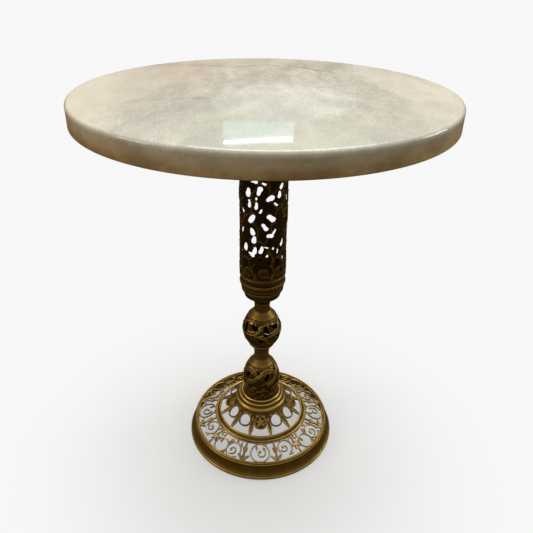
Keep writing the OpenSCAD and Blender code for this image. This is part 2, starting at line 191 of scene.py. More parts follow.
class Sheet:
    """A sheet of openwork wrapped around the axis.

    It runs along a profile of (radius, height) points, in millimetres, and around it. The field inside is the
    distance into the metal, below zero in an opening, and relief is how proud the metal stands, from 0 to 1.
    """

    def __init__(self, profile, cell, folds=1, solid=-9.0):
        profile = np.array(profile, float)
        self.folds = folds
        length = np.concatenate([[0], np.cumsum(np.hypot(*np.diff(profile, axis=0).T))])
        self.length = length[-1]
        self.rows = int(round(self.length / cell)) + 1
        self.s = np.linspace(0, self.length, self.rows)
        self.r = np.interp(self.s, length, profile[:, 0])
        self.z = np.interp(self.s, length, profile[:, 1])
        tangent = np.stack([np.gradient(self.r, self.s), np.gradient(self.z, self.s)], -1)
        tangent /= np.hypot(*tangent.T)[:, None]
        self.normal = np.stack([tangent[:, 1], -tangent[:, 0]], -1)
        self.columns = int(round(2 * math.pi * self.r.max() / cell / folds))
        self.inside = np.full((self.rows, self.columns), solid)
        self.relief = np.zeros((self.rows, self.columns))
        self.step = 2 * math.pi / folds / self.columns

    def radius(self, s):
        """Radius of the sheet at distance s along the profile."""
        return float(np.interp(s, self.s, self.r))

    def stamp(self, theta, s, w, lift=1.0, vein=0.0, mode="metal"):
        """A round spot of half-width w at angle theta and distance s along the profile.

        It is a hole, metal that may bridge an opening, or relief only, on the metal that is there.
        """
        reach = w + 1.5
        r = self.radius(s)
        ds = self.length / (self.rows - 1)
        j0 = max(0, int((s - reach) / ds))
        j1 = min(self.rows, int((s + reach) / ds) + 2)
        if j1 <= j0:
            return
        half = int(reach / (r * self.step)) + 1
        i_mid = int(round(theta / self.step))
        i = np.arange(i_mid - half, i_mid + half + 1)
        dx = (i * self.step - theta) * r
        dy = self.s[j0:j1] - s
        depth = w - np.hypot(dx[None, :], dy[:, None])
        cols = i % self.columns
        block = np.ix_(np.arange(j0, j1), cols)
        if mode == "hole":
            self.inside[block] = np.minimum(self.inside[block], -depth)
            return
        if mode == "metal":
            self.inside[block] = np.maximum(self.inside[block], depth)
        q = np.clip(depth / w, 0, 1)
        height = np.sqrt(1 - (1 - q) ** 2)
        height = height - vein * np.clip((q - 0.72) / 0.28, 0, 1)
        height = np.where(depth > 0, lift * height, 0)
        self.relief[block] = np.maximum(self.relief[block], height)

    def stroke(self, points, w, lift=1.0, vein=0.0, mode="metal", spacing=0.35):
        """A strand along points (theta, s), of half-width w, or of the half-widths that w gives along it."""
        p = np.array(points, float)
        r = np.interp(p[:, 1], self.s, self.r)
        seg = np.hypot(np.diff(p[:, 0]) * (r[1:] + r[:-1]) / 2, np.diff(p[:, 1]))
        run = np.concatenate([[0], np.cumsum(seg)])
        n = max(2, int(run[-1] / spacing))
        for u in np.linspace(0, 1, n):
            theta = np.interp(u * run[-1], run, p[:, 0])
            s = np.interp(u * run[-1], run, p[:, 1])
            width = w(u) if callable(w) else w
            if width > 0.15:
                self.stamp(theta, s, width, lift, vein, mode)

    def place(self, theta0, s0, points, turn=0.0):
        """Local points (x, y) in millimetres, turned by degrees and moved to (theta0 in degrees, s0)."""
        c, d = math.cos(math.radians(turn)), math.sin(math.radians(turn))
        r0 = self.radius(s0)
        return [
            (math.radians(theta0) + (x * c - y * d) / r0, s0 + x * d + y * c)
            for x, y in points
        ]

    def build(self, name, material, replaces, proud, thickness):
        """The mesh: an outer face proud by the relief, an inner face, and walls around every opening."""
        field = np.tile(self.inside, (1, self.folds))
        relief = np.tile(self.relief, (1, self.folds))
        rows = len(field)
        verts2, tris, edge_ends = contour(field)
        row = verts2[:, 0]
        column = verts2[:, 1]
        j = np.clip(row.astype(int), 0, rows - 2)
        f = row - j
        i0 = np.floor(column).astype(int)
        g = column - i0
        rel = lerp2(relief, j, f, i0, g)
        # Edges of openings drop to low relief, which rounds them and paints them dark brown: painted shade on
        # the opening walls.
        rel[edge_ends] = np.minimum(rel[edge_ends], 0.12)
        lift = proud * rel
        r = self.r[j] * (1 - f) + self.r[j + 1] * f
        z = self.z[j] * (1 - f) + self.z[j + 1] * f
        nr = self.normal[j, 0] * (1 - f) + self.normal[j + 1, 0] * f
        nz = self.normal[j, 1] * (1 - f) + self.normal[j + 1, 1] * f
        angle = column * self.step

        def wrap(offset):
            """Points of a face at an offset from the profile, along its normal."""
            rr = r + nr * offset
            return np.stack([rr * np.sin(angle), -rr * np.cos(angle), z + nz * offset], -1)

        round_in = np.where(edge_ends, 0.3 * thickness, 0)
        verts = np.concatenate([wrap(lift - proud), wrap(round_in - thickness)])
        n = len(r)
        faces = [list(t) for t in tris] + [[t[0] + n, t[2] + n, t[1] + n] for t in tris]
        faces += [[a + n, b + n, b, a] for a, b in open_edges(tris)]
        # The inner face takes a fifth of the relief, so it is painted dark brown: painted shade inside the
        # openwork.
        return make_mesh(name, verts, faces, material, replaces, np.concatenate([rel, rel * 0.2]))


def lerp2(grid, j, f, i0, g):
    """Values of a closed grid between rows j and j + 1 by the share f, and columns i0 and i0 + 1 by g."""
    columns = grid.shape[1]
    a = grid[j, i0 % columns] * (1 - g) + grid[j, (i0 + 1) % columns] * g
    b = grid[j + 1, i0 % columns] * (1 - g) + grid[j + 1, (i0 + 1) % columns] * g
    return a * (1 - f) + b * f


def contour(field):
    """Triangles of the part of a grid, closed around its columns, where the field is above zero.

    Returns points (row, column), triangles, and which points lie on the border of an opening.
    """
    rows, columns = field.shape
    field = np.where(np.abs(field) < 1e-3, 1e-3, field)
    count = rows * columns
    row, column = np.meshgrid(np.arange(rows), np.arange(columns), indexing="ij")
    base = row * columns + column
    right = row * columns + (column + 1) % columns
    points = [np.stack([row, column], -1).reshape(-1, 2).astype(float)]
    for dj, di in ((0, 1), (1, 0), (1, 1)):
        other = np.roll(field, (-dj, -di), (0, 1))
        with np.errstate(divide="ignore", invalid="ignore"):
            t = np.clip(np.nan_to_num(field / (field - other)), 0.08, 0.92)
        points.append(np.stack([row + dj * t, column + di * t], -1).reshape(-1, 2))
    points = np.concatenate(points)
    number = {"h": count, "v": 2 * count, "d": 3 * count}
    b = base[:-1].ravel()
    rt = right[:-1].ravel()
    up = base[1:].ravel()
    diag = right[1:].ravel()
    flat = field.ravel()
    lower = (b, rt, diag, number["h"] + b, number["v"] + rt, number["d"] + b)
    upper = (b, diag, up, number["d"] + b, number["h"] + up, number["v"] + b)
    tris = []
    for a0, a1, a2, e01, e12, e02 in (lower, upper):
        inside = np.stack([flat[a0] > 0, flat[a1] > 0, flat[a2] > 0], -1)
        corners = np.stack([a0, a1, a2], -1)
        edges = np.stack([e01, e12, e02], -1)
        total = inside.sum(1)
        tris.append(corners[total == 3])
        for k in range(3):
            n, p = (k + 1) % 3, (k + 2) % 3
            one = (total == 1) & inside[:, k]
            edge_kn = edges[:, k]
            edge_pk = edges[:, p]
            tris.append(np.stack([corners[one, k], edge_kn[one], edge_pk[one]], -1))
            two = (total == 2) & ~inside[:, k]
            tris.append(np.stack([edge_kn[two], corners[two, n], corners[two, p]], -1))
            tris.append(np.stack([edge_kn[two], corners[two, p], edge_pk[two]], -1))
    tris = np.concatenate(tris)
    used, back = np.unique(tris, return_inverse=True)
    return points[used], back.reshape(-1, 3), used >= count


def open_edges(tris):
    """Directed edges that belong to one triangle only."""
    a = np.concatenate([tris[:, [0, 1]], tris[:, [1, 2]], tris[:, [2, 0]]])
    key = np.sort(a, 1)
    big = int(key.max()) + 1
    code = key[:, 0].astype(np.int64) * big + key[:, 1]
    _, first, counts = np.unique(code, return_index=True, return_counts=True)
    return a[first[counts == 1]]


def curl(radius, turn0, sweep, end_radius=None, steps=40):
    """Spiral around the local origin from angle turn0 over sweep degrees, from radius to end_radius."""
    end_radius = radius if end_radius is None else end_radius
    t = np.linspace(0, 1, steps)
    a = np.radians(turn0 + sweep * t)
    r = radius + (end_radius - radius) * t
    return list(zip(r * np.cos(a), r * np.sin(a)))


def leaf_width(half):
    """Half-width along a leaf: a narrow stalk, a full middle and a point."""
    return lambda u: half * (0.12 + 0.88 * math.sin(math.pi * min(1, 0.08 + 0.92 * u)) ** 0.75)


def taper(w0, w1, bulb=0.0):
    """Half-width that runs from w0 to w1, with a round bulb at the end."""
    return lambda u: w0 + (w1 - w0) * u + bulb * math.exp(-((1 - u) / 0.07) ** 2)


# ---- materials

class Nodes:
    """Short hand for a material's node tree."""

    def __init__(self, name):
        self.material = bpy.data.materials.new(name)
        self.material.use_nodes = True
        self.tree = self.material.node_tree
        self.shader = self.tree.nodes["Principled BSDF"]
        self.place = self.add("ShaderNodeTexCoord").outputs["Object"]

    def add(self, kind, **values):
        """A new node with the properties given."""
        node = self.tree.nodes.new(kind)
        for key, value in values.items():
            setattr(node, key, value)
        return node

    def link(self, source, target):
        """Joins a socket to an input, or sets the input to a number or a colour."""
        if isinstance(source, (int, float)):
            target.default_value = source
        elif isinstance(source, (tuple, list)):
            target.default_value = tuple(source) + (1,) * (len(target.default_value) - len(source))
        else:
            self.tree.links.new(source, target)

    def math(self, operation, a, b=0.5, clamp=False):
        """Result of an operation on two values."""
        node = self.add("ShaderNodeMath", operation=operation, use_clamp=clamp)
        self.link(a, node.inputs[0])
        self.link(b, node.inputs[1])
        return node.outputs[0]

    def ramp(self, value, low, high, to_low=0.0, to_high=1.0):
        """Smooth step from to_low to to_high while the value runs from low to high."""
        node = self.add("ShaderNodeMapRange", interpolation_type="SMOOTHSTEP")
        self.link(value, node.inputs["Value"])
        self.link(low, node.inputs["From Min"])
        self.link(high, node.inputs["From Max"])
        self.link(to_low, node.inputs["To Min"])
        self.link(to_high, node.inputs["To Max"])
        return node.outputs["Result"]

    def mix(self, factor, a, b):
        """Colour between a and b."""
        node = self.add("ShaderNodeMix", data_type="RGBA")
        self.link(factor, node.inputs["Factor"])
        self.link(a, node.inputs["A"])
        self.link(b, node.inputs["B"])
        return node.outputs["Result"]

    def noise(self, scale, detail=3.0, stretch=(1, 1, 1), rough=0.5, distortion=0.0):
        """Noise from 0 to 1 in the object's own space."""
        mapping = self.add("ShaderNodeMapping")
        self.link(self.place, mapping.inputs["Vector"])
        mapping.inputs["Scale"].default_value = stretch
        node = self.add("ShaderNodeTexNoise")
        self.link(mapping.outputs["Vector"], node.inputs["Vector"])
        node.inputs["Scale"].default_value = scale
        node.inputs["Detail"].default_value = detail
        node.inputs["Roughness"].default_value = rough
        node.inputs["Distortion"].default_value = distortion
        return node.outputs["Fac"]

    def bump(self, height, strength, distance):
        """Roughens the surface by a height."""
        node = self.add("ShaderNodeBump")
        self.link(height, node.inputs["Height"])
        node.inputs["Strength"].default_value = strength
        node.inputs["Distance"].default_value = distance
        self.link(node.outputs["Normal"], self.shader.inputs["Normal"])

    def set(self, **values):
        """Sets or joins the shader's inputs, named with underscores."""
        for key, value in values.items():
            self.link(value, self.shader.inputs[key.replace("_", " ")])


def brass(name, crown, recess, roughness, relief=True, turned=0.0, grime=0.5, crest=(0.10, 0.95)):
    """Aged brass, pale on the crests of the relief and brown in its recesses, with stains and fine pits; the
    pale crests are partly rubbed metal and partly painted highlight, the brown recesses partly patina and
    partly painted shade.
    """
    n = Nodes(name)
    if relief:
        attribute = n.add("ShaderNodeAttribute", attribute_name="relief")
        height = attribute.outputs["Fac"]
    else:
        height = n.math("ADD", 0.55, 0.0)
    cloud = n.noise(34, 5, rough=0.6)
    grain = n.noise(420, 3, rough=0.6)
    pits = n.noise(1500, 2)
    wear_and_shade = n.math("ADD", height, n.math("MULTIPLY", n.math("SUBTRACT", cloud, 0.5), 0.55))
    wear_and_shade = n.math("ADD", wear_and_shade, n.math("MULTIPLY", n.math("SUBTRACT", grain, 0.5), 0.18))
    shown = n.ramp(wear_and_shade, *crest)
    stain = [0.7 * recess[0], 0.72 * recess[1], 0.9 * recess[2]]
    patina_and_shade = n.mix(n.ramp(n.noise(16, 4), 0.42, 0.66), recess, stain)
    dull = [0.84 * crown[0], 0.80 * crown[1], 0.72 * crown[2]]
    polish_and_highlight = n.mix(n.ramp(n.noise(60, 4), 0.35, 0.7), crown, dull)
    # Crest colour is partly painted highlight, recess colour partly painted shade.
    n.set(Base_Color=n.mix(shown, patina_and_shade, polish_and_highlight), Metallic=1.0)
    rough = n.math("ADD", roughness, n.math("MULTIPLY", n.math("SUBTRACT", 1.0, shown), grime * 0.45))
    rough = n.math("ADD", rough, n.math("MULTIPLY", n.math("SUBTRACT", grain, 0.5), 0.16), clamp=True)
    n.set(Roughness=rough)
    surface = n.math("ADD", n.math("MULTIPLY", grain, 0.6), n.math("MULTIPLY", pits, 0.35))
    if turned:
        lines = n.noise(2600, 1, stretch=(0.02, 0.02, 1))
        surface = n.math("ADD", surface, n.math("MULTIPLY", lines, turned))
    n.bump(surface, 0.2, 0.0005)
    return n.material


def marble():
    """Polished pale marble with grainy clouds, a warm tint towards the back left, a green tint in the front
    centre that is a painted reflection, thin veins and a duller side painted brown as shade, darker towards
    the bottom.
    """
    n = Nodes("marble")
    axes = n.add("ShaderNodeSeparateXYZ")
    n.link(n.place, axes.inputs[0])
    x, y, z = axes.outputs
    streak = n.noise(30, 8, stretch=(1.0, 0.45, 1.2), rough=0.66, distortion=0.5)
    cloud = n.noise(10, 7, stretch=(1.0, 0.42, 1), rough=0.6, distortion=0.7)
    fleck = n.noise(300, 6, stretch=(1.0, 0.4, 1), rough=0.8)
    crystal = n.noise(560, 3, stretch=(1.0, 0.4, 1), rough=0.7)
    pale = n.mix(n.ramp(streak, 0.36, 0.66), (0.60, 0.575, 0.515), (0.79, 0.77, 0.715))
    grey = n.mix(n.ramp(streak, 0.34, 0.68), (0.40, 0.385, 0.36), (0.58, 0.56, 0.525))
    base = n.mix(n.ramp(cloud, 0.40, 0.60), pale, grey)
    grain = n.ramp(fleck, 0.36, 0.64)
    base = n.mix(n.math("MULTIPLY", grain, 0.42), base, (0.31, 0.30, 0.28))
    base = n.mix(n.ramp(crystal, 0.56, 0.68, 0.0, 0.60), base, (0.97, 0.97, 0.94))
    back_left = n.math("ADD", n.math("MULTIPLY", x, -0.9), n.math("MULTIPLY", y, 0.8))
    warm = n.ramp(back_left, -0.02, 0.26, 0.0, 0.5)
    base = n.mix(warm, base, n.mix(streak, (0.52, 0.43, 0.37), (0.72, 0.62, 0.54)))
    # Greenish tint round the front centre of the top: painted reflection of the window glow around the strip
    # highlight.
    centre = n.ramp(n.math("ABSOLUTE", n.math("SUBTRACT", x, 0.02)), 0.02, 0.20, 1.0, 0.0)
    painted_reflection = n.math("MULTIPLY", centre, n.ramp(y, -0.26, 0.10, 0.62, 0.0))
    base = n.mix(painted_reflection, base, n.mix(streak, (0.52, 0.57, 0.49), (0.66, 0.70, 0.62)))
    wander = n.math("MULTIPLY", n.math("SUBTRACT", n.noise(14, 5, distortion=0.4), 0.5), 0.10)

    def vein(slope, offset, x_low, x_high, width, depth):
        """Strength of a thin vein along y = slope x + offset, between x_low and x_high."""
        line = n.math("SUBTRACT", y, n.math("ADD", n.math("MULTIPLY", x, slope), offset))
        away = n.math("ABSOLUTE", n.math("ADD", line, wander))
        thin = n.ramp(away, 0.0, n.math("MULTIPLY", n.noise(30, 2), 2.0 * width), depth, 0.0)
        start = n.ramp(x, x_low - 0.02, x_low + 0.02)
        end = n.ramp(x, x_high - 0.02, x_high + 0.02, 1.0, 0.0)
        return n.math("MULTIPLY", n.math("MULTIPLY", start, end), thin)

    veins = vein(0.10, 0.185, -0.19, 0.02, 0.0042, 0.55)
    veins = n.math("MAXIMUM", veins, vein(-0.95, 0.235, 0.03, 0.11, 0.0045, 0.75))
    veins = n.math("MAXIMUM", veins, vein(0.35, -0.02, -0.22, -0.05, 0.006, 0.26))
    veins = n.math("MAXIMUM", veins, vein(-0.22, 0.05, 0.04, 0.24, 0.006, 0.22))
    base = n.mix(veins, base, (0.20, 0.175, 0.15))
    shoulder = SLAB_TOP * MM - 0.0045
    side = n.ramp(z, shoulder - 0.004, shoulder, 1.0, 0.0)
    smoke = n.noise(26, 5, stretch=(0.7, 0.7, 1.2), rough=0.6)
    # The side is painted brown, more so towards the bottom: painted shade.
    side_shade_colour = n.mix(n.ramp(smoke, 0.34, 0.66), (0.27, 0.17, 0.062), (0.50, 0.37, 0.185))
    side_shade_share = n.math("MULTIPLY", side, n.ramp(z, SLAB_LOW * MM, shoulder, 0.97, 0.5))
    base = n.mix(side_shade_share, base, side_shade_colour)
    outer = n.ramp(n.math("ABSOLUTE", x), 0.09, 0.25, 0.0, 0.5)
    edges = n.math("MULTIPLY", outer, n.ramp(y, 0.05, 0.20, 1.0, 0.3))
    base = n.mix(n.math("MULTIPLY", edges, n.math("SUBTRACT", 1.0, side)), base, (0.86, 0.82, 0.72))
    n.set(Base_Color=base, Metallic=0.0)
    n.set(Roughness=n.math("ADD", n.math("MULTIPLY", side, 0.26), n.ramp(fleck, 0.2, 0.8, 0.03, 0.055)))
    n.shader.inputs["IOR"].default_value = 1.5
    n.bump(n.math("ADD", n.noise(6, 2), n.math("MULTIPLY", fleck, 0.006)), 0.02, 0.003)
    return n.material


def steel():
    """Zinc-plated steel, dull and spotted, painted dark as the shade it sits in inside the stem and under the
    slab.
    """
    n = Nodes("steel")
    spots = n.noise(220, 4)
    colour = n.mix(n.ramp(spots, 0.35, 0.7), (0.045, 0.040, 0.034), (0.17, 0.155, 0.135))
    n.set(Base_Color=colour, Metallic=1.0)
    n.set(Roughness=n.ramp(spots, 0.3, 0.7, 0.55, 0.34))
    n.bump(n.noise(900, 3), 0.25, 0.0005)
    return n.material


def felt():
    """Dark felt with short tangled fibres."""
    n = Nodes("felt")
    fibre = n.noise(1400, 4, stretch=(1, 0.35, 1), distortion=1.2)
    n.set(Base_Color=n.mix(fibre, (0.008, 0.009, 0.012), (0.045, 0.047, 0.055)))
    n.set(Roughness=n.ramp(fibre, 0.3, 0.7, 0.86, 1.0))
    n.shader.inputs["Sheen Weight"].default_value = 0.4
    n.bump(fibre, 0.6, 0.001)
    return n.material


GOLD = (0.66, 0.48, 0.20)
PALE = (0.52, 0.355, 0.115)
BRONZE = (0.36, 0.225, 0.062)
OLIVE = (0.29, 0.18, 0.048)
BROWN = (0.075, 0.043, 0.008)
UMBER = (0.050, 0.030, 0.006)

cast = brass("cast_brass", GOLD, BROWN, 0.28, crest=(0.40, 1.0))
relief_brass = brass("relief_brass", (0.36, 0.235, 0.070), (0.050, 0.029, 0.006), 0.38, crest=(0.12, 1.05))
bright = brass("bright_brass", PALE, (0.12, 0.072, 0.016), 0.30, turned=0.4)
stem_brass = brass("stem_brass", BRONZE, (0.095, 0.056, 0.012), 0.36, turned=0.4)
turned_brass = brass("turned_brass", (0.38, 0.25, 0.070), (0.11, 0.064, 0.012), 0.31, turned=0.5)
# Darker copies of the brass for the column, the cup, the foot ring, the top plate and the ring under the
# slab: painted shade of the slab.
slab_shaded_cast = brass("slab_shaded_cast_brass", OLIVE, UMBER, 0.40, grime=0.7, crest=(0.20, 1.1))
slab_shaded_plain = brass("slab_shaded_plain_brass", (0.16, 0.105, 0.038), UMBER, 0.45, relief=False, grime=0.7)
insert_brass = brass("insert_brass", (0.62, 0.47, 0.22), BROWN, 0.30, relief=False)
stone = marble()
shaded_steel = steel()
cloth = felt()


# ---- slab

def make_slab():
    """Round slab with a rounded upper edge, an eased lower one, and one small chip in front."""
    edge = 5.0
    bevel = 1.5
    outline = [(0, SLAB_LOW)] + [(r, SLAB_LOW) for r in np.linspace(20, SLAB_R - bevel - 0.8, 12)]
    outline += arc(SLAB_R - bevel, SLAB_LOW + bevel, bevel, -90, 0, 5)
    outline += [(SLAB_R, z) for z in np.linspace(SLAB_LOW + bevel + 2, SLAB_TOP - edge - 1, 12)]
    outline += arc(SLAB_R - edge, SLAB_TOP - edge, edge, 0, 90, 12)
    outline += [(r, SLAB_TOP) for r in np.linspace(SLAB_R - edge - 1, 20, 24)] + [(0, SLAB_TOP)]
    chip_angle = math.radians(9.5)
    chip_z = SLAB_TOP - 12.5

    def chip(r, z, a):
        """How far the chip pulls in the points of the side."""
        near = np.exp(-(((a - chip_angle) / 0.014) ** 2) - ((z - chip_z) / 1.6) ** 2)
        return -1.7 * near * (r > SLAB_R - 3)

    lathe("marble_slab", outline, stone, ["marble_top"], steps=720, wobble=chip)


make_slab()


# ---- turned pieces

def make_rim():
    """Skirt of the base: a round foot, a hollow side and two beads at the top."""
    r = RIM_R
    skirt = smooth_line([(r - 3.2, 6.2), (r - 5.6, 9.5), (r - 7.4, 14), (r - 8.6, 19), (r - 9.0, 23.2)], 6)
    outline = [(r - 7.5, 0), (r - 3.5, 0)] + arc(r - 3.4, 3.1, 3.1, -90, 66, 12)[1:]
    outline += skirt
    outline += arc(r - 10.6, 25.4, 2.4, -45, 80, 8)
    outline += arc(BAND_R + 1.7, 28.9, 1.5, -40, 130, 8)
    outline += [(BAND_R + 0.2, 28.4), (BAND_R, 27.6), (BAND_R, 21.5), (r - 12.5, 16), (r - 11, 9)]
    lathe("rim_skirt", outline, turned_brass, ["base_rim"], steps=320)


def make_middle_ring():
    """Flat ring between the dome and the scrollwork, with a raised lip on each edge."""
    r0, r1 = 74.0, RING_R
    outline = [(r0, 42.0), (r1, 36.4), (r1, 39.8)]
    outline += arc(r1 - 1.5, 40.3, 1.5, -10, 125, 7)
    outline += [(r1 - 3.2, 41.0), (r0 + 3.4, 44.6)]
    outline += arc(r0 + 1.5, 45.0, 1.5, 40, 190, 7)
    lathe("middle_ring_turned", outline, bright, ["middle_ring"], steps=280)


def make_collar():
    """Stepped collar under the urn: a broad rounded skirt and two beads, each smaller than the one below."""
    low, _, _ = span("stepped_collar")
    hub_r = 20
    outline = [(ROD_HOLE_R, low), (hub_r, low), (hub_r, DOME_TOP), (44.6, DOME_TOP)]
    outline += arc(39.6, 72.6, 7.0, -30, 68, 18)
    outline += [(41.0, 80.2)] + arc(37.8, 82.6, 3.1, -24, 92, 10)
    outline += [(36.4, 85.8)] + arc(33.3, 88.0, 2.8, -22, 88, 10)
    outline += [(31.6, 90.2), (30.6, 89.4), (ROD_HOLE_R, 89.0)]
    lathe("collar_turned", outline, bright, ["stepped_collar"], steps=240)


def make_neck(name, node, r_low, r_high):
    """Waisted neck between two swellings, with a fine bead at each end."""
    low, high, _ = span(node)
    h = high - low
    mid = smooth_line([(r_low, low + 0.9), (13.3, low + 0.16 * h), (12.9, low + 0.34 * h),
                       (12.85, low + 0.5 * h), (12.9, high - 0.34 * h), (13.3, high - 0.16 * h),
                       (r_high, high - 0.9)], 6)
    outline = [(ROD_HOLE_R, low), (r_low, low)] + mid + [(r_high, high), (ROD_HOLE_R, high)]
    lathe(name, outline, stem_brass, [node], steps=120)


def make_cap(name, node, top_r, sag):
    """Smooth cap with a rolled lip, which flares down from a neck onto an openwork shell."""
    low, high, lip_r = span(node)
    skirt_r = lip_r - 0.7
    skirt_z = low + 2.1
    skirt = []
    for t in np.linspace(0, 1, 12):
        share = sag * t + (1 - sag) * t * t
        skirt.append((skirt_r + (top_r - skirt_r) * share, skirt_z + (high - skirt_z) * t))
    outline = [(ROD_HOLE_R, low), (lip_r - 0.9, low)]
    outline += arc(lip_r - 0.9, low + 1.0, 1.0, -90, 80, 6)[1:]
    outline += skirt + [(ROD_HOLE_R, high)]
    lathe(name, outline, stem_brass, [node], steps=160)


def make_lower_cap():
    """Plain cup that carries the ball."""
    low, high, r = span("ball_lower_cap")
    bowl = [(14, low), (15.9, low + 3.5), (18.3, low + 7), (20.5, low + 10), (r - 0.1, high - 1.1)]
    outline = [(ROD_HOLE_R, low)] + smooth_line(bowl, 6)
    outline += arc(r - 0.9, high - 0.9, 0.9, 0, 90, 4) + [(ROD_HOLE_R, high)]
    lathe("ball_lower_cap_turned", outline, stem_brass, ["ball_lower_cap"], steps=160)


def cup_leaves(r, z, a):
    """Low lobes around the bowl of the cup, and a beaded line near its top."""
    bowl_low, bowl_top, bead_z = 290, 311, 326.6
    depth = 0.55
    t = np.clip((z - bowl_low) / 14, 0, 1) * np.clip((bowl_top - z) / 6, 0, 1) * (r > 20)
    lobes = depth * np.abs(np.cos(10 * a)) ** 0.6 * t
    row = 0.35 * np.exp(-(((z - bead_z) / 1.3) ** 2)) * np.cos(60 * a) * (r > 33)
    return -depth * t + lobes + row


def make_cup():
    """Cup that carries the column: trumpet foot, lobed bowl and a polished ridge."""
    z = CUP_LOW
    foot = [(13.7 + 0.33 * t + 0.0385 * t * t, z + t) for t in np.linspace(0, 16.2, 16)]
    outline = [(ROD_HOLE_R, z)] + foot + smooth_line([(29.6, z + 18), (30.6, z + 21), (31.4, z + 24)], 5)
    outline += arc(31.0, z + 29, 3.2, -42, 40, 9)
    outline += arc(31.8, z + 35.5, 3.2, -30, 30, 9)
    outline += arc(32.1, z + 43.5, 5.1, -46, 58, 12)
    outline += [(35.6, CUP_TOP - 1.4), (35.7, CUP_TOP), (27, CUP_TOP)]
    outline += [(27, z + 20), (16, z + 11), (ROD_HOLE_R, z + 9)]
    lathe("cup_turned", outline, slab_shaded_cast, ["cup"], steps=480, wobble=cup_leaves)


def make_foot_ring():
    """Ring that centres the column on the cup."""
    low, _, _ = span("column_foot_ring")
    bead_z = 336.6
    top = 344
    outline = [(ROD_HOLE_R, low), (35.7, low), (35.7, bead_z - 1.4)] + arc(35.9, bead_z, 1.2, -60, 60, 5)
    outline += [(34.7, bead_z + 1.4), (34.7, top), (31.7, top), (31.7, low + 5), (ROD_HOLE_R, low + 5)]
    lathe("foot_ring_turned", outline, slab_shaded_cast, ["column_foot_ring"], steps=200)


make_rim()
make_middle_ring()
make_collar()
make_neck("lower_neck_turned", "lower_neck", 14, 14)
make_neck("upper_neck_turned", "upper_neck", 15, 13.7)
make_cap("ball_upper_cap_turned", "ball_upper_cap", 15, 1)
make_cap("urn_cap_turned", "urn_cap", 14, 1.4)
make_lower_cap()
make_cup()
make_foot_ring()


# ---- scrollwork of the base

def leaf(sheet, theta, s, length, half, turn, bend=0.0, lift=0.9, vein=0.45, mode="metal"):
    """Pointed leaf from (theta in degrees, s), which runs at turn degrees from the profile's direction."""
    points = []
    for t in np.linspace(0, 1, 12):
        points.append((bend * length * t * t, length * t))
    sheet.stroke(sheet.place(theta, s, points, turn), leaf_width(half), lift, vein, mode)


def blossom(sheet, theta, s, petals, reach, half):
    """Flower with round petals and a raised heart."""
    for k in range(petals):
        leaf(sheet, theta, s, reach, half, k * 360 / petals + 10, 0.06, 0.85, 0.5)
    sheet.stroke(sheet.place(theta, s, [(0, 0), (0.1, 0)]), 0.9 * half, 1.0)


def ring_stroke(sheet, theta, s, radius, a0, sweep, w, end=None, lift=1.0, bulb=0.0, mode="metal"):
    """Curled strand around (theta in degrees, s)."""
    points = sheet.place(theta, s, curl(radius, a0, sweep, end))
    sheet.stroke(points, taper(w, 0.85 * w, bulb), lift, mode=mode)


def spray(sheet, theta):
    """Leafy stem from the rim to the middle ring, with a trefoil at its foot."""
    leaf(sheet, theta, -0.5, 21, 2.3, 0, 0.0)
    leaf(sheet, theta, 37.3, 19, 1.9, 180, 0.0)
    for side in (-1, 1):
        leaf(sheet, theta, 2, 15, 2.5, side * 38, -side * 0.2)
        leaf(sheet, theta, 15, 12, 1.6, side * 30, side * 0.22)
        leaf(sheet, theta + side * 1.5, -0.5, 8, 2.1, side * 62, -side * 0.2)


def make_band():
    """Scrollwork of the base, four equal quarters of rings, curls, leaves and flowers."""
    sheet = Sheet([(BAND_R, 28), (83, 39.4)], 0.67, folds=4)
    w = 1.25
    middle = 18.4
    for s, half in ((0.4, 1.7), (36.3, 1.9)):
        sheet.stroke([(t, s) for t in np.linspace(0, math.pi / 2, 200)], half, 0.8)
    ring_stroke(sheet, 0, middle, 16.2, 95, 350, w)
    ring_stroke(sheet, 1.0, middle - 1, 8.6, 60, -300, w, 3.4, bulb=1.2)
    leaf(sheet, 5.6, middle + 3, 8, 1.6, 20, -0.3)
    leaf(sheet, -4.5, middle + 12, 8, 1.8, 205, 0.3)
    spray(sheet, 15.5)
    spray(sheet, 74.5)
    ring_stroke(sheet, 26.5, 21.5, 12.6, -60, 270, w)
    ring_stroke(sheet, 25.4, 20.5, 6.8, 200, 290, w, 2.8, bulb=1.2)
    leaf(sheet, 27.5, 7, 9, 1.9, -75, 0.3)
    blossom(sheet, 38.4, 17.5, 5, 8.8, 2.6)
    leaf(sheet, 38.4, 25, 13, 1.6, 0, 0.05)
    leaf(sheet, 38.4, 10, 11, 1.6, 180, 0.05)
    ring_stroke(sheet, 44.4, 30.6, 5.2, 230, -300, w, 2.6, bulb=1.0)
    ring_stroke(sheet, 49.6, 13.4, 12.4, 20, 335, w)
    leaf(sheet, 47.4, 16, 9, 1.9, 20, 0.35)
    leaf(sheet, 55.2, 23, 11, 1.8, -20, 0.3)
    ring_stroke(sheet, 63.4, 15.2, 13.2, -10, 320, w)
    ring_stroke(sheet, 62.6, 14.2, 7.4, 250, 300, w, 2.8, bulb=1.2)
    leaf(sheet, 64.5, 28, 9, 1.9, 8, -0.25)
    leaf(sheet, 60.5, 27, 9, 1.6, 50, -0.25)
    for theta, s, turn in ((32.4, 27, -25), (56.4, 6, 160), (70.4, 24, 30), (7.6, 33, 100)):
        leaf(sheet, theta, s, 9, 1.6, turn, 0.3)
    sheet.build("base_scrollwork", cast, ["filigree_band"], 1.5, 2.9)


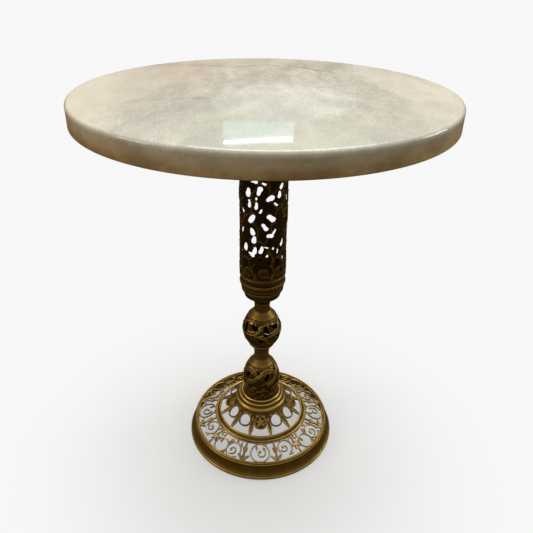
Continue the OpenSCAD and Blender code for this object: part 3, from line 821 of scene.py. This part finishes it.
def make_dome():
    """Dome of the base: round medallion openings with raised rims, every third one filled by a rosette."""
    sheet = Sheet([(DOME_R, 54), (60.9, 54.6), (45.3, 68.6), (44.7, 69)], 0.55, folds=4)
    middle = 0.5 * sheet.length + 1.9
    hole_r = 9.2
    sheet.stroke([(t, sheet.length - 0.8) for t in np.linspace(0, math.pi / 2, 120)], 2.8, 0.5)
    for theta in (15, 45, 75):
        sheet.stroke(sheet.place(theta, middle, [(0, -4.0), (0, 8)]), lambda u: 1.6 + 4.6 * u, 0.42)
        leaf(sheet, theta, middle + 7.5, 9, 1.6, 180, 0.0, 0.9)
    for theta in (0, 30, 60):
        ring_stroke(sheet, theta, middle, hole_r + 1.3, 0, 360, 1.5, lift=0.5)
        ring_stroke(sheet, theta, middle, hole_r + 0.5, 0, 360, 0.8, lift=1.0)
        ring_stroke(sheet, theta, middle, hole_r + 2.5, 0, 360, 0.7, lift=0.9, mode="relief")
    for theta in (30, 60):
        sheet.stamp(math.radians(theta), middle, hole_r, mode="hole")
    sheet.stamp(0.0, middle, hole_r, 0.4)
    blossom(sheet, 0, middle, 5, 8.6, 2.9)
    blossom(sheet, 0, middle, 5, 4.6, 1.8)
    ring_stroke(sheet, 2.0, middle - 1.5, 5.2, -40, 230, 0.8, 2.6, lift=1.0)
    sheet.build("dome_medallions", relief_brass, ["medallion_ring"], 1.7, 2.6)


def make_darts():
    """Pointed leaves with raised borders that carry the dome on the middle ring."""
    sheet = Sheet([(75.2, 45.4), (57.6, 57.2)], 0.5, folds=12)
    spine = np.linspace(0, 22.2, 16)

    def half(u):
        """Half-width along the leaf: narrow at its outer end and full near the dome."""
        return 1.5 + 3.0 * math.sin(math.pi * min(1.0, 0.06 + 0.62 * u)) ** 1.6 if u < 0.9 else 3.9

    sheet.stroke(sheet.place(15, -1.0, [(0, t) for t in spine]), half, 0.45)
    for side in (-1, 1):
        edge = [(side * (half(t / spine[-1]) - 0.6), t) for t in spine]
        sheet.stroke(sheet.place(15, -1.0, edge), 0.75, 1.0)
    sheet.stroke(sheet.place(15, 1.0, [(0, t) for t in spine[:-4]]), 0.55, 0.8)
    sheet.build("dome_darts", cast, ["medallion_ring"], 1.3, 2.6)


make_band()
make_dome()
make_darts()


# ---- ball and urn

def ball_profile():
    """Outside of the openwork ball, from its lower cap to its upper one."""
    middle, widest = 227, 33.6
    points = []
    for z in np.linspace(BALL_LOW, BALL_TOP, 60):
        curve = 39.0 if z > middle else 45.0
        points.append((widest - curve + math.sqrt(curve**2 - (z - middle) ** 2), z))
    return points


def urn_profile():
    """Outside of the openwork urn, from the collar to its cap."""
    middle, widest, curve = 123, 33, 46
    points = []
    for z in np.linspace(URN_LOW, URN_TOP, 60):
        if z > middle:
            points.append((widest - curve + math.sqrt(curve**2 - (z - middle) ** 2), z))
        else:
            points.append((widest - 4.5 * ((middle - z) / (middle - URN_LOW)) ** 2, z))
    return points


def teardrop(sheet, theta, s, length, half, turn, lip=1.7, narrow=0.78):
    """Pointed opening with a round lower end and a raised lip."""
    points = sheet.place(theta, s, [(0, -0.5 * length), (0.08 * length, 0), (0, 0.5 * length)], turn)
    sheet.stroke(points, lambda u: lip + half * (1 - narrow * u) ** 0.8, 0.9, mode="relief")
    sheet.stroke(points, lambda u: half * (1 - narrow * u) ** 0.8, mode="hole")


def rib(sheet, theta, points, half, lift=1.0, drop=0.0):
    """Smooth rib through points (angle from theta, share of the profile), fullest in its middle."""
    path = [(math.radians(theta + t), sheet.length * s - drop) for t, s in smooth_line(points, 8)]
    sheet.stroke(path, lambda u: half * (0.45 + 0.55 * math.sin(math.pi * u)), lift, mode="relief")


def border_lines(sheet, lines):
    """Raised rings around the whole shell at the distances s, of the half-widths given."""
    for s, half in lines:
        sheet.stroke([(a, s) for a in np.linspace(0, 2 * math.pi, 300)], half, 0.7, mode="relief")


def make_ball():
    """Ball of smooth winding double ribs with leaf-shaped openings between them."""
    sheet = Sheet(ball_profile(), 0.6, folds=1, solid=3.0)
    sheet.relief += 0.36
    top = sheet.length
    main = [(50, 0.97), (34, 0.975), (14, 0.925), (-2, 0.86)]
    main += [(-14, 0.745), (-32, 0.66), (-60, 0.63), (-84, 0.54)]
    lower = [(-60, 0.50), (-42, 0.565), (-20, 0.575), (2, 0.51), (16, 0.42), (24, 0.30), (44, 0.20)]
    for k in range(5):
        t = k * 72
        rib(sheet, t, main, 2.7)
        rib(sheet, t, main, 1.6, 0.9, drop=5.2)
        rib(sheet, t, lower, 1.9, 0.9)
        rib(sheet, t, [(30, 0.34), (0, 0.26), (-30, 0.14)], 1.5, 0.7)
        teardrop(sheet, t - 35, top * 0.85, 15, 5.0, 66)
        for j in range(3):
            leaf(sheet, t - 46 + 11 * j, top * 0.955, 5.5, 1.5, 168 + 10 * j, 0.15, 0.9, 0.3)
        teardrop(sheet, t + 13, top * 0.725, 11.0, 5.0, 4, lip=1.8, narrow=0.2)
        teardrop(sheet, t - 15, top * 0.455, 19, 3.9, 68)
    border_lines(sheet, ((1.0, 1.5), (top - 1.0, 1.6)))
    sheet.build("ball_openwork", relief_brass, ["openwork_ball"], 2.0, 2.6)


def make_urn():
    """Urn with tight foliage in relief below, and winding ribs with openings above."""
    sheet = Sheet(urn_profile(), 0.6, folds=1, solid=3.0)
    sheet.relief += 0.32
    top = sheet.length
    rng = np.random.default_rng(8)
    for row in range(4):
        for k in range(13):
            theta = (k + 0.5 * (row % 2)) * 360 / 13 + rng.uniform(-5, 5)
            s = top * (0.04 + 0.12 * row)
            turn = 78 + 24 * (row % 2) + rng.uniform(-18, 18)
            bend = rng.uniform(-0.35, 0.1)
            leaf(sheet, theta, s, rng.uniform(8, 13), rng.uniform(1.4, 2.3), turn, bend, 0.95, 0.3, "relief")
    main = [(66, 0.80), (38, 0.93), (12, 0.93), (-8, 0.80), (-28, 0.64), (-52, 0.54)]
    for k in range(5):
        t = k * 72
        rib(sheet, t, main, 2.3)
        rib(sheet, t, main, 1.4, 0.9, drop=4.6)
        rib(sheet, t, [(-2, 0.99), (-22, 0.95), (-44, 0.80), (-60, 0.72)], 1.7, 0.85)
        rib(sheet, t, [(44, 0.66), (20, 0.60), (-2, 0.50)], 1.4, 0.8)
        teardrop(sheet, t - 14, top * 0.88, 4.0, 2.6, 74, lip=1.4)
        teardrop(sheet, t + 21, top * 0.77, 8.0, 4.2, -34, lip=1.7, narrow=0.5)
        teardrop(sheet, t - 12, top * 0.665, 9, 1.4, 78, lip=1.2)
    border_lines(sheet, ((1.0, 1.5), (top - 1.0, 1.5)))
    sheet.build("urn_openwork", relief_brass, ["openwork_urn"], 2.0, 2.6)


make_ball()
make_urn()


# ---- column

COLUMN_NODES = sorted(n for n in NODES if n.startswith("column_panel_"))

# Height of the camera and its distance from the front of the column, in millimetres
EYE_Z = 784
EYE_TO_WALL = 727

# Openings in the front of the column: angle, height, length, half-width and lean, in degrees and millimetres
OPENINGS = (
    (-23, 502, 11, 2.4, 88), (46, 494, 7, 3.2, -30), (39, 482, 8, 3.4, 0), (-38, 485, 11, 4.2, -12),
    (-10, 488, 13, 3.6, 160), (-17, 477, 3.5, 1.5, 0), (15, 477, 11, 4.0, 115), (-35, 468, 13, 2.6, 2),
    (-17, 466, 12, 2.4, -6), (-56, 455, 9, 2.4, 28), (-76, 446, 9, 2.8, 10), (-6, 458, 8, 1.6, -28),
    (-28, 445, 14, 4.2, -38), (18, 447, 12, 4.8, 60), (3, 433, 12, 3.4, 40), (-57, 422, 9, 2.6, -18),
    (16, 418, 9, 3.6, 95), (-27, 424, 9, 3.8, 20), (-22, 411, 9, 3.8, -15), (51, 403, 13, 2.8, -16),
    (-46, 396, 10, 4.0, -10), (-61, 389, 10, 2.2, 14), (-30, 386, 11, 3.2, 60), (-20, 393, 11, 3.2, -12),
    (-4, 395, 13, 2.9, -16), (-6, 379, 7, 2.6, 0), (8, 399, 6, 1.8, 82), (25, 397, 4, 1.7, 0),
    (37, 391, 9, 1.7, 0), (10, 384, 5.5, 1.8, -20), (55, 376, 7, 2.0, 0), (35, 371, 13, 4.0, 18),
    (49, 356, 9, 2.4, 0), (-74, 354, 12, 3.6, 0), (30, 468, 7, 2.4, 60), (28, 425, 8, 2.0, -30),
    (13, 372, 8, 2.6, 50), (68, 440, 10, 2.8, -20), (66, 472, 11, 3.0, 24), (-70, 412, 10, 2.8, 16),
    (-68, 484, 11, 3.0, -14), (70, 408, 9, 2.6, 10), (-14, 522, 11, 3.2, 30), (14, 520, 12, 3.4, -36),
    (-44, 518, 12, 3.2, 20), (42, 520, 10, 3.0, 42), (0, 546, 12, 3.4, 12), (-32, 548, 12, 3.0, -30),
    (32, 548, 11, 3.2, 30), (-66, 540, 11, 3.0, 12), (66, 538, 11, 3.0, -20), (0, 500, 6, 2.0, 70),
)


def through(theta, z):
    """Angle and height where a sight line down through the front wall at (theta, z) meets the back wall."""
    side = min(0.985, 1.07 * abs(math.sin(math.radians(theta))))
    back = 180 - math.copysign(math.degrees(math.asin(side)), theta)
    fall = (EYE_Z - z) / EYE_TO_WALL * 2 * COLUMN_R * math.cos(math.radians(theta))
    return back, z - fall


def make_column():
    """Openwork column: leaf-shaped openings in a wall painted dark as the slab's shade, with vines and curls
    in low relief.
    """
    sheet = Sheet([(COLUMN_R, COLUMN_LOW), (COLUMN_R, COLUMN_TOP)], 1.08, folds=1, solid=3.0)
    sheet.relief += 0.22
    top = sheet.length
    rng = np.random.default_rng(5)
    for k in range(9):
        points = []
        for s in np.linspace(0, top, 120):
            bend = 9 * math.sin(2 * math.pi * s / 92 + 1.9 * k) + 4 * math.sin(2 * math.pi * s / 37 + 3.8 * k)
            points.append((math.radians(40 * k + 18 + bend), s))
        sheet.stroke(points, 1.5, 0.8, mode="relief")
        side = 1 if k % 2 else -1
        s = 5.0 + k
        while s < top - 10:
            theta = math.degrees(np.interp(s, [p[1] for p in points], [p[0] for p in points]))
            turn = -side * rng.uniform(28, 66)
            length = rng.uniform(9, 15)
            half = rng.uniform(1.8, 3.0)
            leaf(sheet, theta, s, length, half, turn, side * 0.2, 0.75, 0.4, "relief")
            side = -side
            s += rng.uniform(9, 13)
    for theta, z, length, half, turn in OPENINGS:
        if COLUMN_LOW + 6 < z < COLUMN_TOP - 6:
            teardrop(sheet, theta, z - COLUMN_LOW, 0.62 * length, 1.12 * half, turn, lip=1.3, narrow=0.4)
        back, low = through(theta, z)
        if low > COLUMN_LOW + 2:
            teardrop(sheet, back, low - COLUMN_LOW, 0.9 * length, 1.5 * half, -turn, lip=1.2, narrow=0.2)
    for k in range(9):
        theta = 40 * k
        ring_stroke(sheet, theta + 2, 15, 7.4, 30, 330, 1.4, lift=0.95, mode="relief")
        ring_stroke(sheet, theta + 2, 15, 5.4, 30, 400, 1.2, 1.6, lift=0.95, mode="relief")
        leaf(sheet, theta + 22, 2, 13, 2.6, 0, 0.1, 0.9, 0.5, "relief")
        for step in range(3):
            sheet.stamp(math.radians(theta + 17 + 5 * step), 5.5 + step % 2, 1.4, 1.0, mode="relief")
    for s in (1.2, top - 1.2):
        sheet.stroke([(a, s) for a in np.linspace(0, 2 * math.pi, 300)], 1.8, 0.8, mode="relief")
    sheet.build("column_vines", slab_shaded_cast, COLUMN_NODES, 1.5, 2.3)


make_column()


# ---- parts kept from the CAD model

def dress(node, material):
    """Gives a CAD node its material, with smooth faces and sharp edges."""
    data = NODES[node].data
    data.materials.clear()
    data.materials.append(material)
    data.polygons.foreach_set("use_smooth", [True] * len(data.polygons))
    data.set_sharp_from_angle(angle=math.radians(35))


for node, material in (
    ("marble_inserts", insert_brass), ("felt_disc", cloth), ("top_plate", slab_shaded_plain), ("slab_screws", shaded_steel),
    ("flange_screws", shaded_steel), ("column_top_ring", slab_shaded_plain), ("upper_washer", shaded_steel), ("upper_nut", shaded_steel),
    ("tie_rod", shaded_steel), ("base_washer", shaded_steel), ("base_nut", shaded_steel),
):
    dress(node, material)


# ---- floor, backdrop and light

def stage_object(name):
    """Names the object just made, and keeps it out of the light and reflections on the table."""
    obj = bpy.context.object
    obj.name = name
    obj.visible_diffuse = False
    obj.visible_glossy = False
    return obj


def paper(obj, name):
    """Gives a stage object a material with no nodes in it yet, and returns the node tree."""
    material = bpy.data.materials.new(name)
    material.use_nodes = True
    material.node_tree.nodes.clear()
    obj.data.materials.append(material)
    return material.node_tree


def blend(tree, factor, first, second):
    """Shader that goes from the first to the second by a factor."""
    mix = tree.nodes.new("ShaderNodeMixShader")
    for source, target in zip((factor, first, second), mix.inputs):
        tree.links.new(source, target)
    return mix.outputs[0]


def make_floor():
    """Pale floor that takes the table's shadow near it, and fades to the even tone of the backdrop."""
    bpy.ops.mesh.primitive_circle_add(vertices=128, radius=14, fill_type="NGON", location=(0, 0, -0.0004))
    tree = paper(stage_object("floor"), "floor_paper")
    new = tree.nodes.new
    link = tree.links.new
    out = new("ShaderNodeOutputMaterial")
    lit = new("ShaderNodeBsdfDiffuse")
    lit.inputs["Color"].default_value = (0.74, 0.77, 0.82, 1)
    glow = new("ShaderNodeEmission")
    glow.inputs["Color"].default_value = SURROUND
    place = new("ShaderNodeTexCoord")
    far = new("ShaderNodeVectorMath")
    far.operation = "LENGTH"
    link(place.outputs["Object"], far.inputs[0])
    fade = new("ShaderNodeMapRange")
    fade.interpolation_type = "SMOOTHSTEP"
    link(far.outputs["Value"], fade.inputs["Value"])
    fade.inputs["From Min"].default_value = 0.10
    fade.inputs["From Max"].default_value = 0.50
    fade.inputs["To Min"].default_value = 0.42
    paper_shader = blend(tree, fade.outputs["Result"], lit.outputs[0], glow.outputs[0])
    back_side = new("ShaderNodeNewGeometry").outputs["Backfacing"]
    clear = new("ShaderNodeBsdfTransparent").outputs[0]
    link(blend(tree, back_side, paper_shader, clear), out.inputs[0])


def make_backdrop():
    """Even pale surround, which only the camera sees."""
    bpy.ops.mesh.primitive_uv_sphere_add(segments=48, ring_count=24, radius=13.5)
    obj = stage_object("backdrop")
    obj.visible_shadow = False
    obj.visible_transmission = False
    tree = paper(obj, "backdrop_paper")
    glow = tree.nodes.new("ShaderNodeEmission")
    glow.inputs["Color"].default_value = SURROUND
    tree.links.new(glow.outputs[0], tree.nodes.new("ShaderNodeOutputMaterial").inputs[0])


def make_world():
    """Room light: a bright ceiling, dim warm walls and a darker floor."""
    world = bpy.data.worlds.new("room")
    bpy.context.scene.world = world
    world.use_nodes = True
    tree = world.node_tree
    back = tree.nodes["Background"]
    place = tree.nodes.new("ShaderNodeTexCoord")
    axes = tree.nodes.new("ShaderNodeSeparateXYZ")
    tree.links.new(place.outputs["Generated"], axes.inputs[0])
    ramp = tree.nodes.new("ShaderNodeValToRGB")
    half = tree.nodes.new("ShaderNodeMath")
    half.operation = "MULTIPLY_ADD"
    tree.links.new(axes.outputs["Z"], half.inputs[0])
    half.inputs[1].default_value = 0.5
    half.inputs[2].default_value = 0.5
    tree.links.new(half.outputs[0], ramp.inputs[0])
    tree.links.new(ramp.outputs[0], back.inputs["Color"])
    stops = (
        (0.0, (0.17, 0.125, 0.075)), (0.45, (0.17, 0.125, 0.065)), (0.56, (0.22, 0.17, 0.10)),
        (0.72, (0.50, 0.46, 0.38)), (1.0, (1.0, 0.98, 0.92)),
    )
    elements = ramp.color_ramp.elements
    while len(elements) < len(stops):
        elements.new(0.5)
    for element, (at, colour) in zip(elements, stops):
        element.position = at
        element.color = (*colour, 1)
    back.inputs["Strength"].default_value = 0.95


def area(name, location, target, size, energy, colour, size_y=None, shape="RECTANGLE", roll=0.0):
    """Soft light of the given shape at a point, turned towards another and rolled about its own axis."""
    data = bpy.data.lights.new(name, "AREA")
    data.shape = shape
    data.size = size
    data.size_y = size_y or size
    data.energy = energy
    data.color = colour
    light = bpy.data.objects.new(name, data)
    facing = (Vector(target) - Vector(location)).to_track_quat("-Z", "Y").to_matrix()
    rolled = facing @ Matrix.Rotation(math.radians(roll), 3, "Z")
    light.matrix_world = Matrix.Translation(location) @ rolled.to_4x4()
    light.visible_camera = False
    bpy.context.scene.collection.objects.link(light)


bpy.context.scene.view_settings.view_transform = "Standard"
make_floor()
make_backdrop()
make_world()
area("ceiling", (0.1, 0.7, 2.3), (0, 0, 0.4), 1.5, 31, (1.0, 0.98, 0.93))
area("left_fill", (-1.8, -0.6, 1.3), (0, 0, 0.3), 0.8, 8, (1.0, 0.86, 0.66))
area("right_fill", (1.9, 0.3, 1.0), (0, 0, 0.25), 0.7, 7, (0.90, 0.95, 0.86))
area("tube", (-0.035, 2.27, 1.384), (-0.035, 0.0, 0.62), 0.39, 0.11, (0.93, 1.0, 1.0), 0.009, roll=3.5)
area("window", (-0.035, 2.30, 1.335), (-0.035, 0.0, 0.62), 0.40, 0.085, (0.50, 0.92, 1.0), 0.10)
area("round_lamp", (0.08, 1.67, 1.03), (0.03, 0.0, 0.62), 0.64, 0.07, (0.80, 0.97, 1.0), 0.15, "ELLIPSE")
